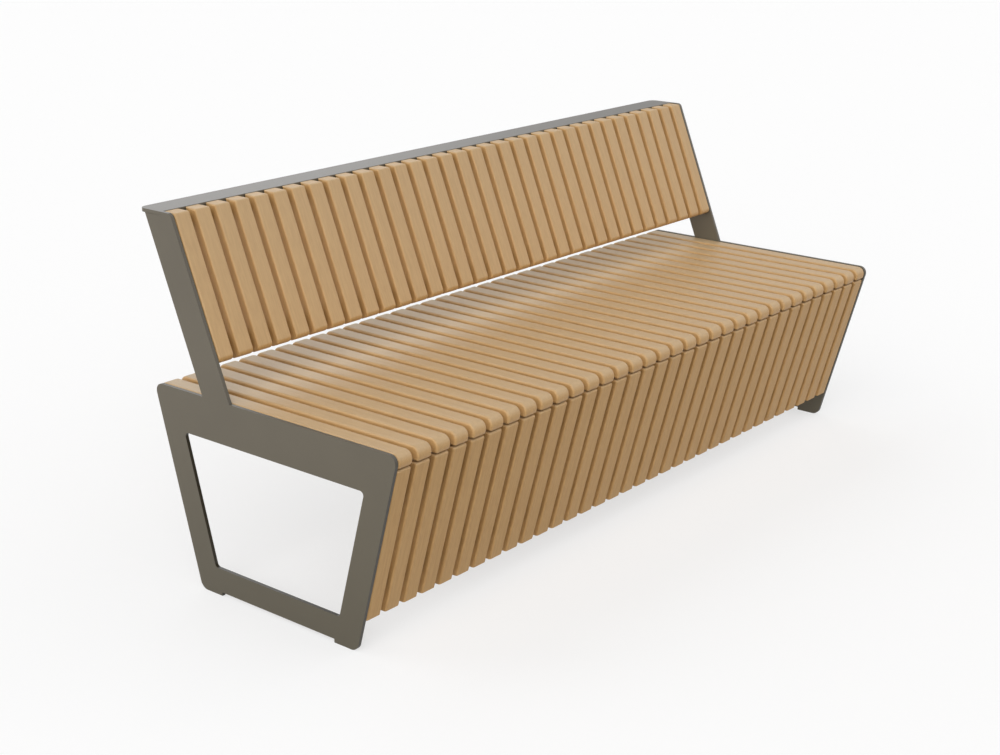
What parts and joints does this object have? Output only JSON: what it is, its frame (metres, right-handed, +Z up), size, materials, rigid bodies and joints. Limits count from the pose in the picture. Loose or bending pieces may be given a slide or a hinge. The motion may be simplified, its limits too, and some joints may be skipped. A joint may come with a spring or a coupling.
{
  "type": "outdoor bench",
  "caption": "Free-standing outdoor bench: steel plate side frames carry slats as seat, front skirt and leaning backrest, under a steel top cap.",
  "frame": {"origin": "middle of the bench's box at the level of the ground", "axes": "+X along the bench towards the right end as seen from the front, +Y towards the back of the bench, +Z up; the sitter faces -Y"},
  "size_m": [1.842, 0.7056, 0.812],
  "materials": {
    "oak": "light hardwood, planed and oiled, satin, with fine straight grain",
    "powder_coat": "satin taupe-grey powder coat",
    "stainless": "plain stainless steel nuts"
  },
  "bodies": {
    "root": {"seat_slat_01": "oak", "seat_slat_02": "oak", "seat_slat_03": "oak", "seat_slat_04": "oak", "seat_slat_05": "oak", "seat_slat_06": "oak", "seat_slat_07": "oak", "seat_slat_08": "oak", "seat_slat_09": "oak", "seat_slat_10": "oak", "seat_slat_11": "oak", "seat_slat_12": "oak", "seat_slat_13": "oak", "seat_slat_14": "oak", "seat_slat_15": "oak", "seat_slat_16": "oak", "seat_slat_17": "oak", "seat_slat_18": "oak", "seat_slat_19": "oak", "seat_slat_20": "oak", "seat_slat_21": "oak", "seat_slat_22": "oak", "seat_slat_23": "oak", "seat_slat_24": "oak", "seat_slat_25": "oak", "seat_slat_26": "oak", "seat_slat_27": "oak", "seat_slat_28": "oak", "seat_slat_29": "oak", "seat_slat_30": "oak", "seat_slat_31": "oak", "seat_slat_32": "oak", "seat_slat_33": "oak", "seat_slat_34": "oak", "skirt_panel": "oak", "backrest_panel": "oak", "side_frame_left": "powder_coat", "side_frame_right": "powder_coat", "top_cap": "powder_coat", "seat_beam_front": "powder_coat", "seat_beam_middle": "powder_coat", "seat_beam_rear": "powder_coat", "seat_beam_front_1_nut_left": "stainless", "seat_beam_front_1_nut_right": "stainless", "seat_beam_front_2_nut_left": "stainless", "seat_beam_front_2_nut_right": "stainless", "seat_beam_middle_1_nut_left": "stainless", "seat_beam_middle_1_nut_right": "stainless", "seat_beam_middle_2_nut_left": "stainless", "seat_beam_middle_2_nut_right": "stainless", "seat_beam_rear_1_nut_left": "stainless", "seat_beam_rear_1_nut_right": "stainless", "seat_beam_rear_2_nut_left": "stainless", "seat_beam_rear_2_nut_right": "stainless", "skirt_rail_upper_nut_left": "stainless", "skirt_rail_upper_nut_right": "stainless", "skirt_rail_lower_nut_left": "stainless", "skirt_rail_lower_nut_right": "stainless", "back_rail_nut_left": "stainless", "back_rail_nut_right": "stainless"}
  },
  "joints": []
}
